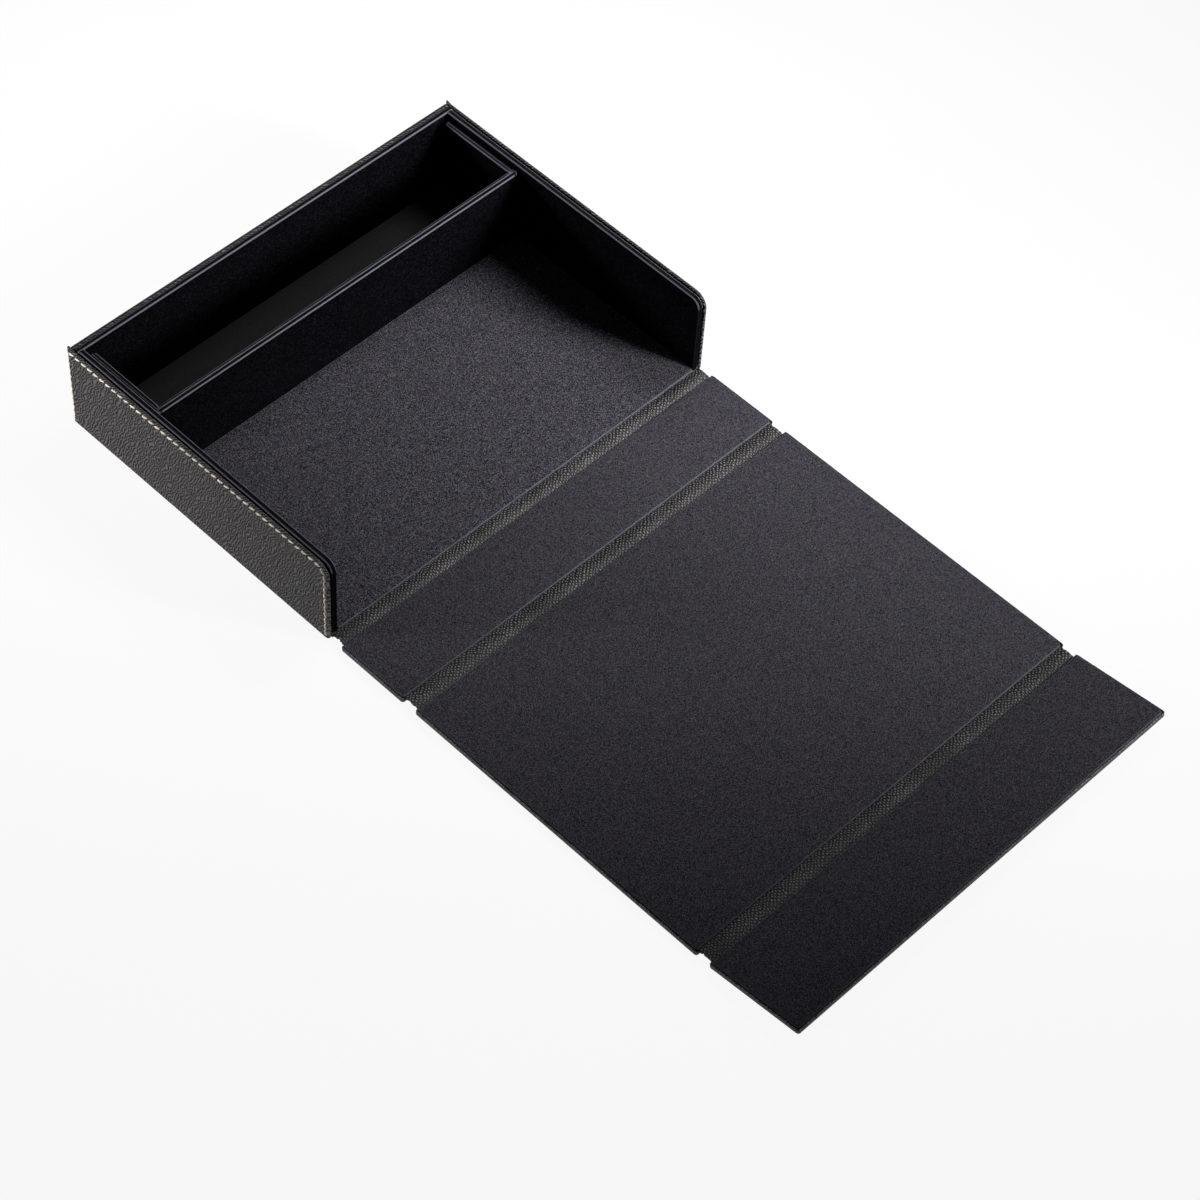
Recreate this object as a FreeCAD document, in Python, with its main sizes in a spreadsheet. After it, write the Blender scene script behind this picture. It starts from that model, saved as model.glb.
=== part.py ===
import FreeCAD, Part
import math
import os
import re
import Sketcher

# Jewelry box of covered boards: an open tray, and a cover of spine, lid and flap that folds over it.
# Frame: millimetres, +Z up, origin at the centre of the tray's underside, the cover runs towards -Y.
# It is modelled as it lies open: spine and lid flat, flap tilted up a little by its hinge strip.

# Driving sizes: name, value, what it is.
SIZES = [
    ("tray_width", 261.0, "outside of one side panel to the other"),
    ("tray_depth", 192.6, "side panel, hinge end to back end"),
    ("wall_height", 55.2, "side panels, table to top edge"),
    ("corner_radius", 8.5, "top hinge-side corner of the side panels"),
    ("lining_corner", 6.0, "top hinge-side corner of the velvet side walls"),
    ("foot_radius", 3.0, "bottom hinge-side corner of the side panels"),
    ("leather", 0.7, "leatherette thickness"),
    ("velvet", 0.6, "velvet thickness"),
    ("side_board", 1.0, "board inside the leatherette side and back panels"),
    ("wall_board", 2.5, "board inside the velvet side walls"),
    ("back_board", 2.3, "board inside the velvet back wall"),
    ("back_setback", 0.2, "side panels stand this far past the back wall"),
    ("base_board", 2.6, "board of the tray's base"),
    ("base_setback", 0.3, "base and inner walls start this far behind the side panels' end"),
    ("floor_card", 1.7, "velvet-covered card on the main floor"),
    ("compartment_card", 1.5, "paper-covered card in the divided compartment"),
    ("floor_gap", 0.3, "room round both floor cards"),
    ("main_depth", 131.1, "side panels' hinge end to the divider's front face"),
    ("divider_board", 3.1, "board inside the divider"),
    ("divider_drop", 3.3, "divider's top edge below the walls' top edge"),
    ("divider_side_gap", 0.4, "divider's returns to the inner walls"),
    ("divider_back_gap", 2.7, "ends of the returns to the back wall"),
    ("divider_corner", 2.0, "outer corners of the divider, in plan"),
    ("panel_inset", 0.3, "ends of the spine, lid and flap inside the side panels' outer faces"),
    ("cover_board", 1.5, "board inside the spine, lid and flap"),
    ("liner_card", 1.2, "velvet-covered card inside the spine, lid and flap"),
    ("liner_inset", 1.0, "card's edge inside the panel's edge"),
    ("liner_corner", 1.5, "corner of each card, in plan"),
    ("strip_thickness", 1.0, "hinge strip, two layers of leatherette"),
    ("strip_rise", 1.2, "underside of the hinge strips above the table"),
    ("strip_inset", 2.2, "ends of the strips inside the panels' ends"),
    ("base_strip", 8.2, "flat width between base and spine"),
    ("lid_strip", 8.3, "flat width between spine and lid"),
    ("flap_strip", 7.7, "flat width between lid and flap"),
    ("base_hinge_rise", 1.9, "first fold axis above the table"),
    ("lid_hinge_rise", 1.8, "second fold axis above the table"),
    ("flap_hinge_rise", 1.2, "third fold axis above the table"),
    ("lid_hinge_reach", 5.6, "second fold axis from the spine's edge"),
    ("flap_hinge_reach", 6.5, "third fold axis from the lid's edge"),
    ("spine_clearance", 0.7, "closed spine to the side panels' ends"),
    ("lid_clearance", 0.6, "closed lid to the walls' top edges"),
    ("flap_clearance", 0.7, "closed flap to the side panels' back ends"),
    ("flap_lift", 0.8, "closed flap's end above the table"),
    ("flap_tilt", 7.2, "degrees that the flap stands up as the box lies open"),
    ("magnet_diameter", 12.0, "magnets and catch plates"),
    ("magnet_spacing", 140.0, "between the two magnets"),
    ("magnet_offset", 38.0, "magnets from the flap's hinge edge"),
    ("magnet_fit", 0.2, "room round a magnet, on the diameter"),
    ("stitch_pitch", 4.6, "from one stitch to the next"),
    ("stitch_gap", 0.8, "between the ends of two stitches"),
    ("thread_width", 0.9, "stitch across"),
    ("thread_height", 0.45, "stitch above the leatherette"),
    ("seam_drop", 1.9, "top row below the panel's top edge"),
    ("seam_front", 2.5, "front row behind the panel's hinge end"),
    ("seam_back", 1.2, "back row before the panel's back end"),
    ("seam_foot", 2.0, "rows' lower ends above the table"),
    ("seam_corner", 6.3, "radius of the row round the top corner"),
]

# Worked out from the driving sizes, so that the cover still closes over the tray when one changes.
LAYOUT = [
    ("hinge_end", "-tray_depth / 2"),
    ("back_end", "tray_depth / 2"),
    ("side_panel", "side_board + 2 * leather"),
    ("side_lining", "wall_board + 2 * velvet"),
    ("back_lining", "back_board + 2 * velvet"),
    ("base_edge", "hinge_end + base_setback"),
    ("base_width", "tray_width - 2 * side_panel"),
    ("base_top", "leather + base_board"),
    ("inside_width", "base_width - 2 * side_lining"),
    ("back_outside", "back_end - back_setback"),
    ("back_middle", "back_outside - side_panel"),
    ("back_inside", "back_middle - back_lining"),
    ("divider_front", "hinge_end + main_depth"),
    ("divider_thickness", "divider_board + 2 * velvet"),
    ("divider_width", "inside_width - 2 * divider_side_gap"),
    ("divider_end", "back_inside - divider_back_gap"),
    ("divider_height", "wall_height - divider_drop - base_top"),
    ("panel_width", "tray_width - 2 * panel_inset"),
    ("cover_deck", "leather + cover_board"),
    ("panel_thickness", "cover_deck + liner_card"),
    ("strip_width", "panel_width - 2 * strip_inset"),
    ("base_hinge_reach", "panel_thickness - base_hinge_rise + base_setback + spine_clearance"),
    ("base_hinge", "base_edge - base_hinge_reach"),
    ("spine_near", "base_edge - base_strip"),
    ("spine_swing", "wall_height + lid_clearance + panel_thickness - base_hinge_rise - lid_hinge_rise"),
    ("lid_hinge", "base_hinge - spine_swing"),
    ("spine_far", "lid_hinge + lid_hinge_reach"),
    ("lid_near", "spine_far - lid_strip"),
    ("lid_swing", "back_end + flap_clearance + panel_thickness - flap_hinge_rise"
                  " - base_hinge + base_hinge_rise - lid_hinge_rise"),
    ("flap_hinge", "lid_hinge - lid_swing"),
    ("lid_far", "flap_hinge + flap_hinge_reach"),
    ("flap_near", "lid_far - flap_strip"),
    ("closed_flap_hinge", "base_hinge_rise + spine_swing + lid_hinge_rise - flap_hinge_rise"),
    ("flap_depth", "closed_flap_hinge - (flap_hinge - flap_near) - flap_lift"),
    ("flap_far", "flap_near - flap_depth"),
    ("catch_height", "closed_flap_hinge - (flap_hinge - flap_near) - magnet_offset"),
]

doc = FreeCAD.newDocument("JewelryBox")
sizeSheet = doc.addObject("Spreadsheet::Sheet", "Sizes")
layoutSheet = doc.addObject("Spreadsheet::Sheet", "Layout")
owner = {}


def linked(text):
    # An expression in plain size names, with each name pointed at the sheet that holds it.
    return re.sub(r"[a-z][a-z_]+", lambda found: owner.get(found.group(), "") + found.group(), text)


for row, (name, value, note) in enumerate(SIZES, start=1):
    sizeSheet.set("A%d" % row, note)
    sizeSheet.set("B%d" % row, str(value))
    sizeSheet.setAlias("B%d" % row, name)
    owner[name] = "Sizes."
for row, (name, formula) in enumerate(LAYOUT, start=1):
    layoutSheet.set("B%d" % row, "=" + linked(formula))
    layoutSheet.setAlias("B%d" % row, name)
    owner[name] = "Layout."
doc.recompute()


def size(name):
    sheet = sizeSheet if owner[name] == "Sizes." else layoutSheet
    return float(sheet.get(name))


def place(piece, x="0", y="0", z="0", tilted=False):
    # The flap's pieces are turned about the flap hinge, the others stand square.
    corner = "vector(%s; %s; %s)" % (x, y, z)
    if tilted:
        about = "vector(0; flap_hinge - (%s); flap_hinge_rise - (%s))" % (y, z)
        text = "placement(%s; rotation(vector(1; 0; 0); -flap_tilt); %s)" % (corner, about)
        piece.setExpression("Placement", linked(text))
        return
    for side, value in zip("xyz", (x, y, z)):
        piece.setExpression("Placement.Base." + side, linked(value))


def box(name, width, depth, height, x=None, y="0", z="0"):
    # x is left out for a box that is centred between the two sides.
    piece = doc.addObject("Part::Box", name)
    piece.setExpression("Length", linked(width))
    piece.setExpression("Width", linked(depth))
    piece.setExpression("Height", linked(height))
    place(piece, "-(%s) / 2" % width if x is None else x, y, z)
    return piece


def cut(name, base, tool, tilted=False):
    piece = doc.addObject("Part::Cut", name)
    piece.Base = base
    piece.Tool = tool
    if tilted:
        place(piece, tilted=True)
    return piece


def joined(name, pieces):
    piece = doc.addObject("Part::MultiFuse", name)
    piece.Shapes = pieces
    return piece


def gathered(name, pieces):
    piece = doc.addObject("Part::Compound", name)
    piece.Links = pieces
    return piece


def origin_plane(body, role):
    return next(item for item in body.Origin.OriginFeatures if item.Role == role)


def rectangle_pad(name, plane, across, up, thickness):
    # A body padded from one rectangle that has a corner on the body's own origin.
    body = doc.addObject("PartDesign::Body", name)
    sketch = body.newObject("Sketcher::SketchObject", name + "_outline")
    sketch.AttachmentSupport = [(origin_plane(body, plane), "")]
    sketch.MapMode = "FlatFace"
    corners = [(0, 0), (1, 0), (1, 1), (0, 1)]
    points = [FreeCAD.Vector(px * 10, py * 10, 0) for px, py in corners]
    for index in range(4):
        sketch.addGeometry(Part.LineSegment(points[index], points[(index + 1) % 4]))
    for index in range(4):
        sketch.addConstraint(Sketcher.Constraint("Coincident", index, 2, (index + 1) % 4, 1))
    for index, direction in enumerate(["Horizontal", "Vertical"] * 2):
        sketch.addConstraint(Sketcher.Constraint(direction, index))
    sketch.addConstraint(Sketcher.Constraint("Coincident", 0, 1, -1, 1))
    wide = sketch.addConstraint(Sketcher.Constraint("DistanceX", 0, 1, 0, 2, 10.0))
    tall = sketch.addConstraint(Sketcher.Constraint("DistanceY", 1, 1, 1, 2, 10.0))
    sketch.setExpression("Constraints[%d]" % wide, linked(across))
    sketch.setExpression("Constraints[%d]" % tall, linked(up))
    pad = body.newObject("PartDesign::Pad", name + "_pad")
    pad.Profile = sketch
    pad.setExpression("Length", linked(thickness))
    doc.recompute()
    return body


def round_edge(body, radius, *middles):
    # Rounds the straight edges of the body's last feature whose middles lie at these points.
    last = body.Tip
    names = []
    for middle in middles:
        wanted = FreeCAD.Vector(*middle)
        gaps = [(edge.CenterOfMass - wanted).Length for edge in last.Shape.Edges]
        names.append("Edge%d" % (gaps.index(min(gaps)) + 1))
    fillet = body.newObject("PartDesign::Fillet", body.Name + "_round")
    fillet.Base = (last, names)
    fillet.setExpression("Radius", linked(radius))
    doc.recompute()


def side_wall(name, thickness, depth, height, x, y, z, top_radius, foot_radius=None):
    # An upright board along Y, with its top corner at the hinge end rounded.
    body = rectangle_pad(name, "YZ_Plane", depth, height, thickness)
    ends = body.Shape.BoundBox
    middle = ends.XLength / 2
    round_edge(body, top_radius, (middle, 0, ends.ZLength))
    if foot_radius:
        round_edge(body, foot_radius, (middle, 0, 0))
    place(body, x, y, z)
    return body


def rounded_card(name, width, depth, thickness, y, z, radius, tilted=False):
    # A flat card, centred between the sides, with its four corners rounded in plan.
    body = rectangle_pad(name, "XY_Plane", width, depth, thickness)
    ends = body.Shape.BoundBox
    middle = ends.ZLength / 2
    corners = [(px, py, middle) for px in (0, ends.XLength) for py in (0, ends.YLength)]
    round_edge(body, radius, *corners)
    place(body, "-(%s) / 2" % width, y, z, tilted)
    return body


def tray_base():
    depth = "back_middle - base_edge"
    cover = box("base_cover", "base_width", depth, "leather", y="base_edge")
    board = box("base_board", "base_width", depth, "base_board", y="base_edge", z="leather")
    front = "base_edge + liner_inset"
    floor = rounded_card("floor_liner", "inside_width - 2 * floor_gap",
                         "divider_front - floor_gap - (%s)" % front, "floor_card",
                         front, "base_top", "liner_corner")
    behind = "divider_front + divider_thickness + floor_gap"
    well = box("compartment_floor", "divider_width - 2 * (divider_thickness + floor_gap)",
               "back_inside - floor_gap - (%s)" % behind, "compartment_card", y=behind, z="base_top")
    return [cover, board, floor, well]


def tray_side(side, panel_x, panel_board_x, lining_x, lining_board_x):
    # One side of the tray: a leatherette panel outside, a velvet wall inside, each with its board.
    board = side_wall(side + "_panel_board", "side_board", "tray_depth - 2 * leather", "wall_height - leather",
                      panel_board_x, "hinge_end + leather", "0", "corner_radius - leather",
                      "foot_radius - leather")
    whole = side_wall(side + "_panel_outline", "side_panel", "tray_depth", "wall_height",
                      panel_x, "hinge_end", "0", "corner_radius", "foot_radius")
    panel = cut(side + "_side_panel", whole, board)
    height = "wall_height - base_top"
    depth = "back_inside - base_edge"
    core = side_wall(side + "_wall_board", "wall_board", depth + " - velvet", height + " - velvet",
                     lining_board_x, "base_edge + velvet", "base_top", "lining_corner - velvet")
    outline = side_wall(side + "_wall_outline", "side_lining", depth, height,
                        lining_x, "base_edge", "base_top", "lining_corner")
    lining = cut(side + "_wall_velvet", outline, core)
    return [panel, board, lining, core]


def back_wall():
    panel_outline = box("back_panel_outline", "base_width", "side_panel", "wall_height", y="back_middle")
    blank = box("back_panel_blank", "base_width", "side_board", "wall_height - leather",
                y="back_middle + leather")
    panel = cut("back_panel", panel_outline, blank)
    holes = []
    plates = []
    for index, sign in enumerate(("-", "")):
        x = sign + "magnet_spacing / 2"
        for group, name, diameter in ((holes, "catch_hole_%d", "magnet_diameter + magnet_fit"),
                                      (plates, "catch_plate_%d", "magnet_diameter")):
            disc = doc.addObject("Part::Cylinder", name % index)
            disc.setExpression("Radius", linked("(%s) / 2" % diameter))
            disc.setExpression("Height", linked("side_board"))
            disc.Placement.Rotation = FreeCAD.Rotation(FreeCAD.Vector(1, 0, 0), -90)
            place(disc, x, "back_middle + leather", "catch_height")
            group.append(disc)
    board = cut("back_panel_board", blank, joined("catch_holes", holes))
    catches = gathered("catch_plates", plates)
    height = "wall_height - base_top"
    lining_outline = box("back_wall_outline", "base_width", "back_lining", height, y="back_inside", z="base_top")
    core = box("back_wall_board", "base_width", "back_board", height + " - velvet",
               y="back_inside + velvet", z="base_top")
    lining = cut("back_wall_velvet", lining_outline, core)
    return [panel, board, catches, lining, core]


def divider():
    # Three boards under one velvet cover that is folded round the two front corners.
    top = "divider_height - velvet"
    front = box("divider_front_board", "divider_width - 2 * velvet", "divider_board", top,
                y="divider_front + velvet", z="base_top")
    behind = "divider_front + velvet + divider_board"
    returns = []
    for side, x in (("left", "-divider_width / 2 + velvet"),
                    ("right", "divider_width / 2 - velvet - divider_board")):
        returns.append(box("divider_%s_board" % side, "divider_board", "divider_end - velvet - (%s)" % behind,
                           top, x=x, y=behind, z="base_top"))
    block = rectangle_pad("divider_block", "XY_Plane", "divider_width", "divider_end - divider_front",
                          "divider_height")
    ends = block.Shape.BoundBox
    round_edge(block, "divider_corner", (0, 0, ends.ZLength / 2), (ends.XLength, 0, ends.ZLength / 2))
    place(block, "-divider_width / 2", "divider_front", "base_top")
    inside = box("divider_inside", "divider_width - 2 * divider_thickness", "divider_end - divider_front",
                 "divider_height", y="divider_front + divider_thickness", z="base_top")
    boards = joined("divider_boards", [front] + returns)
    velvet = cut("divider_velvet", cut("divider_wall", block, inside), boards)
    return [front, velvet] + returns


def cover_panel(name, near, far, tilted=False):
    # Leatherette turned up round a board, and a velvet card on top. Returns the board's blank too.
    depth = "%s - (%s)" % (near, far)
    outline = box(name + "_outline", "panel_width", depth, "cover_deck", y=far)
    board = box(name + ("_blank" if tilted else "_board"), "panel_width - 2 * leather",
                depth + " - 2 * leather", "cover_board", y=far + " + leather", z="leather")
    cover = cut(name + "_cover", outline, board, tilted)
    liner = rounded_card(name + "_liner", "panel_width - 2 * liner_inset", depth + " - 2 * liner_inset",
                         "liner_card", far + " + liner_inset", "cover_deck", "liner_corner", tilted)
    return [cover, board, liner]


def flap():
    cover, blank, liner = cover_panel("flap", "flap_near", "flap_far", tilted=True)
    holes = []
    discs = []
    for index, sign in enumerate(("-", "")):
        x = sign + "magnet_spacing / 2"
        y = "flap_near - magnet_offset"
        for group, name, diameter in ((holes, "magnet_hole_%d", "magnet_diameter + magnet_fit"),
                                      (discs, "magnet_%d", "magnet_diameter")):
            disc = doc.addObject("Part::Cylinder", name % index)
            disc.setExpression("Radius", linked("(%s) / 2" % diameter))
            disc.setExpression("Height", linked("cover_board"))
            place(disc, x, y, "leather", tilted=group is discs)
            group.append(disc)
    board = cut("flap_board", blank, joined("magnet_holes", holes), tilted=True)
    return [cover, board, liner, gathered("flap_magnets", discs)]


def flap_hinge_strip():
    # The strip from the flat lid's edge to the tilted flap's edge, drawn in section and padded across.
    body = doc.addObject("PartDesign::Body", "flap_hinge_strip")
    sketch = body.newObject("Sketcher::SketchObject", "flap_strip_section")
    sketch.AttachmentSupport = [(origin_plane(body, "YZ_Plane"), "")]
    sketch.MapMode = "FlatFace"
    end_run = "flap_hinge_reach + (flap_strip - flap_hinge_reach) * cos(flap_tilt)"
    end_rise = "flap_hinge_rise - strip_rise + (flap_strip - flap_hinge_reach) * sin(flap_tilt)"
    lower = "(flap_hinge_rise - strip_rise)"
    upper = "(flap_hinge_rise - strip_rise - strip_thickness)"
    corners = [("0", "0"),
               (end_run + " + %s * sin(flap_tilt)" % lower, end_rise + " - %s * cos(flap_tilt)" % lower),
               (end_run + " + %s * sin(flap_tilt)" % upper, end_rise + " - %s * cos(flap_tilt)" % upper),
               ("0", "strip_thickness")]
    rough = [(0, 0), (8, 0.1), (7.9, 1.1), (0, 1)]
    points = [FreeCAD.Vector(px, py, 0) for px, py in rough]
    for index in range(4):
        sketch.addGeometry(Part.LineSegment(points[index], points[(index + 1) % 4]))
    for index in range(4):
        sketch.addConstraint(Sketcher.Constraint("Coincident", index, 2, (index + 1) % 4, 1))
    sketch.addConstraint(Sketcher.Constraint("Coincident", 0, 1, -1, 1))
    sketch.addConstraint(Sketcher.Constraint("Vertical", 3))
    for index in (1, 2):
        for kind, text in zip(("DistanceX", "DistanceY"), corners[index]):
            at = sketch.addConstraint(Sketcher.Constraint(kind, -1, 1, index, 1, 1.0))
            sketch.setExpression("Constraints[%d]" % at, linked(text))
    at = sketch.addConstraint(Sketcher.Constraint("DistanceY", -1, 1, 3, 1, 1.0))
    sketch.setExpression("Constraints[%d]" % at, linked(corners[3][1]))
    pad = body.newObject("PartDesign::Pad", "flap_strip_pad")
    pad.Profile = sketch
    pad.setExpression("Length", linked("strip_width"))
    body.Placement.Rotation = FreeCAD.Rotation(FreeCAD.Vector(0, 0, 1), 180)
    place(body, "strip_width / 2", "lid_far", "strip_rise")
    return body


def hinge_strips():
    base = box("base_hinge_strip", "strip_width", "base_strip", "strip_thickness", y="spine_near", z="strip_rise")
    lid = box("lid_hinge_strip", "strip_width", "lid_strip", "strip_thickness", y="lid_near", z="strip_rise")
    return [base, lid, flap_hinge_strip()]


def seam(sign):
    # Separate stitches on a side panel's outer face: up the back, along the top, round and down the front.
    top = size("wall_height") - size("seam_drop")
    front = size("hinge_end") + size("seam_front")
    back = size("back_end") - size("seam_back")
    foot = size("seam_foot")
    turn = size("seam_corner")
    diagonal = turn * (1 - math.sqrt(0.5))
    spots = [(back, foot), (back, top), (front + turn, top), (front + diagonal, top - diagonal),
             (front, top - turn), (front, foot)]
    points = [FreeCAD.Vector(0, py, pz) for py, pz in spots]
    runs = [Part.LineSegment(points[0], points[1]).toShape(),
            Part.LineSegment(points[1], points[2]).toShape(),
            Part.Arc(points[2], points[3], points[4]).toShape(),
            Part.LineSegment(points[4], points[5]).toShape()]
    rows = [Part.Wire(runs[:1]), Part.Wire(runs[1:])]
    face = sign * size("tray_width") / 2
    bottom = min(face, face + sign * size("thread_height"))
    stitches = []
    for row in rows:
        count = int(row.Length / size("stitch_pitch"))
        ends = row.discretize(Number=count + 1)
        for start, end in zip(ends, ends[1:]):
            run = end - start
            length = run.Length - size("stitch_gap")
            thread = Part.makeBox(size("thread_height"), length, size("thread_width"))
            thread.translate(FreeCAD.Vector(0, -length / 2, -size("thread_width") / 2))
            turned = math.degrees(math.atan2(run.z, run.y))
            thread.rotate(FreeCAD.Vector(0, 0, 0), FreeCAD.Vector(1, 0, 0), turned)
            thread.translate((start + end) * 0.5 + FreeCAD.Vector(bottom, 0, 0))
            stitches.append(thread)
    return Part.makeCompound(stitches)


def stitching(name, sign):
    piece = doc.addObject("Part::Feature", name)
    piece.Shape = seam(sign)
    return piece


outside = "tray_width / 2"
inside = "base_width / 2"
pieces = tray_base()
pieces += tray_side("left", "-" + outside, "-%s + leather" % outside, "-" + inside, "-%s + velvet" % inside)
pieces += tray_side("right", inside, inside + " + leather", inside + " - side_lining",
                    inside + " - side_lining + velvet")
pieces += back_wall()
pieces += divider()
pieces += cover_panel("spine", "spine_near", "spine_far")
pieces += cover_panel("lid", "lid_near", "lid_far")
pieces += flap()
pieces += hinge_strips()
pieces += [stitching("left_stitching", -1), stitching("right_stitching", 1)]
doc.recompute()

for item in doc.Objects:
    if "Invalid" in item.State or "Error" in item.State:
        raise RuntimeError("%s did not build" % item.Label)
os.makedirs("parts", exist_ok=True)
for piece in pieces:
    if piece.Shape.isNull() or not piece.Shape.isValid():
        raise RuntimeError("%s has no valid shape" % piece.Label)
for piece in pieces:
    piece.Shape.exportStep("parts/%s.step" % piece.Label)
    print("%-22s %2d solids %10.1f mm3" % (piece.Label, len(piece.Shape.Solids), piece.Shape.Volume))
for name, _ in LAYOUT:
    print("%-22s %9.3f" % (name, size(name)))
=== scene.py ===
import math

import bpy
import bmesh
from mathutils import Matrix, Vector, noise


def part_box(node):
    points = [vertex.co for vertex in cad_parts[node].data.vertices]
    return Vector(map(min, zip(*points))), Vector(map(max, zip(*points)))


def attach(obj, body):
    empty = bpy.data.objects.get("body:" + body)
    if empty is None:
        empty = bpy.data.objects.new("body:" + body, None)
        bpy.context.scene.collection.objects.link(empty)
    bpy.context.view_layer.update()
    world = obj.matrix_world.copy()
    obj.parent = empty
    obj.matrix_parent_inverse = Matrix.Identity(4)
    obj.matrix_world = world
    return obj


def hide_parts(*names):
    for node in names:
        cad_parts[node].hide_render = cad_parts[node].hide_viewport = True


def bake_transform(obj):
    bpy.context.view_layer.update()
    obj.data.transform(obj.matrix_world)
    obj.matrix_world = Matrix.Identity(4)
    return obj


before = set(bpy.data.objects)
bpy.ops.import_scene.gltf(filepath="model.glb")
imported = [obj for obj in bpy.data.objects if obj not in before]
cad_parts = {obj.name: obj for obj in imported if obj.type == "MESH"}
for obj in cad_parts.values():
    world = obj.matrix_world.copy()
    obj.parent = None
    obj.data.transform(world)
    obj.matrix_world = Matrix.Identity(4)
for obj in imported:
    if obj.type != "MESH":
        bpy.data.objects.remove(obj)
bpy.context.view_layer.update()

mm = 0.001
touch = 0.1 * mm  # this near to a plane counts as lying on it
hair = 0.02 * mm  # the same, where other points are close


# small helpers for working by hand

def letGo():
    if bpy.context.view_layer.objects.active and bpy.context.mode != "OBJECT":
        bpy.ops.object.mode_set(mode="OBJECT")
    bpy.ops.object.select_all(action="DESELECT")


def takeUp(piece):
    # the only piece selected, and the active one
    letGo()
    piece.select_set(True)
    bpy.context.view_layer.objects.active = piece


def openCube(name, low, high):
    # a cube at its size and place, left open in edit mode with nothing selected
    letGo()
    low, high = Vector(low), Vector(high)
    bpy.ops.mesh.primitive_cube_add(size=1, location=(low + high) / 2, scale=high - low)
    piece = bpy.context.object
    piece.name = piece.data.name = name
    bpy.ops.object.transform_apply(location=True, rotation=True, scale=True)
    bpy.ops.object.mode_set(mode="EDIT")
    bpy.ops.mesh.select_mode(type="EDGE")
    bpy.ops.mesh.select_all(action="DESELECT")
    return piece


def runsAlong(direction, axis):
    return abs(direction[axis]) > 0.9


def runsAcross(direction, axis):
    return abs(direction[axis]) < 0.1


def pickEdges(piece, wanted):
    # by the edge's middle and its direction
    bpy.ops.mesh.select_mode(type="EDGE")
    bpy.ops.mesh.select_all(action="DESELECT")
    work = bmesh.from_edit_mesh(piece.data)
    for edge in work.edges:
        a, b = edge.verts[0].co, edge.verts[1].co
        if wanted((a + b) / 2, (b - a).normalized()):
            edge.select_set(True)
    bmesh.update_edit_mesh(piece.data)


def pickFaces(piece, wanted):
    # by the face's middle and its normal
    bpy.ops.mesh.select_mode(type="FACE")
    bpy.ops.mesh.select_all(action="DESELECT")
    work = bmesh.from_edit_mesh(piece.data)
    for face in work.faces:
        if wanted(face.calc_center_median(), face.normal):
            face.select_set(True)
    bmesh.update_edit_mesh(piece.data)


def pickRim(piece, level):
    # the edges at this height where a top face meets a side
    bpy.ops.mesh.select_mode(type="EDGE")
    bpy.ops.mesh.select_all(action="DESELECT")
    work = bmesh.from_edit_mesh(piece.data)
    work.normal_update()
    for edge in work.edges:
        onTop = all(v.co.z > level - hair for v in edge.verts)
        if onTop and min(f.normal.z for f in edge.link_faces) < 0.5:
            edge.select_set(True)
    bmesh.update_edit_mesh(piece.data)


def roundPicked(radius, segments):
    bpy.ops.mesh.bevel(offset=radius, segments=segments, profile=0.5, affect="EDGES",
                       offset_type="OFFSET", clamp_overlap=False)


def cutAcross(axis, places):
    # straight cuts through the whole piece
    normal = [0, 0, 0]
    normal[axis] = 1
    for place in places:
        point = [0, 0, 0]
        point[axis] = place
        bpy.ops.mesh.select_all(action="SELECT")
        bpy.ops.mesh.bisect(plane_co=point, plane_no=normal)


def shutPiece(piece, angle=40):
    # back to object mode, normals out, soft shading over the rounded edges
    bpy.ops.mesh.select_all(action="SELECT")
    bpy.ops.mesh.remove_doubles(threshold=0.01 * mm)
    bpy.ops.mesh.normals_make_consistent(inside=False)
    takeUp(piece)
    bpy.ops.object.shade_smooth_by_angle(angle=math.radians(angle))


foldMark = {"flat": 0.998, "upright": 0.03, "topBand": 0.05 * mm}


def markFolds(piece, axis, rim=0.0):
    # 1 on the rounded fold between the flat sides, as seen along the thin axis
    # 0 on the flats, and the rim's own value on a flat top; the finishes paint their highlights by this
    # mask
    work = bmesh.new()
    work.from_mesh(piece.data)
    top = max(point.co.z for point in work.verts) - foldMark["topBand"]
    values = []
    for point in work.verts:
        facing = [abs(face.normal[axis]) for face in point.link_faces]
        flat = max(facing) > foldMark["flat"] or min(facing) < foldMark["upright"]
        values.append((rim if point.co.z > top else 0.0) if flat else 1.0)
    work.free()
    layer = piece.data.attributes.new("fold", "FLOAT", "POINT")
    layer.data.foreach_set("value", values)


darkBand = {"band": 2.2 * mm, "side": 0.25, "back": 0.5}


def darkenRim(piece, share):
    # a darker band along the top edge, read by the leatherette's seam mask
    layer = piece.data.attributes.get("seam") or piece.data.attributes.new("seam", "FLOAT", "POINT")
    top = max(point.co.z for point in piece.data.vertices) - darkBand["band"]
    for point in piece.data.vertices:
        if point.co.z > top:
            layer.data[point.index].value = max(share, layer.data[point.index].value)


def mirrorCopy(piece, name):
    copy = piece.copy()
    copy.data = piece.data.copy()
    copy.name = copy.data.name = name
    bpy.context.scene.collection.objects.link(copy)
    copy.data.transform(Matrix.Scale(-1, 4, (1, 0, 0)))
    copy.data.flip_normals()
    return copy


def settle(piece, body, nodes, finish):
    # its material, the solid it stands for, and the body it moves with
    piece.data.materials.clear()
    piece.data.materials.append(finish)
    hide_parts(*nodes)
    if body:
        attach(piece, body)


# shader groups that several finishes share

def addNode(tree, kind, x, y, **settings):
    made = tree.nodes.new(kind)
    made.location = (x, y)
    for key, value in settings.items():
        setattr(made, key, value)
    return made


def addNoise(tree, x, y, place, scale, detail=2):
    made = addNode(tree, "ShaderNodeTexNoise", x, y)
    made.inputs["Scale"].default_value = scale
    made.inputs["Detail"].default_value = detail
    tree.links.new(place, made.inputs["Vector"])
    return made


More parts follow.
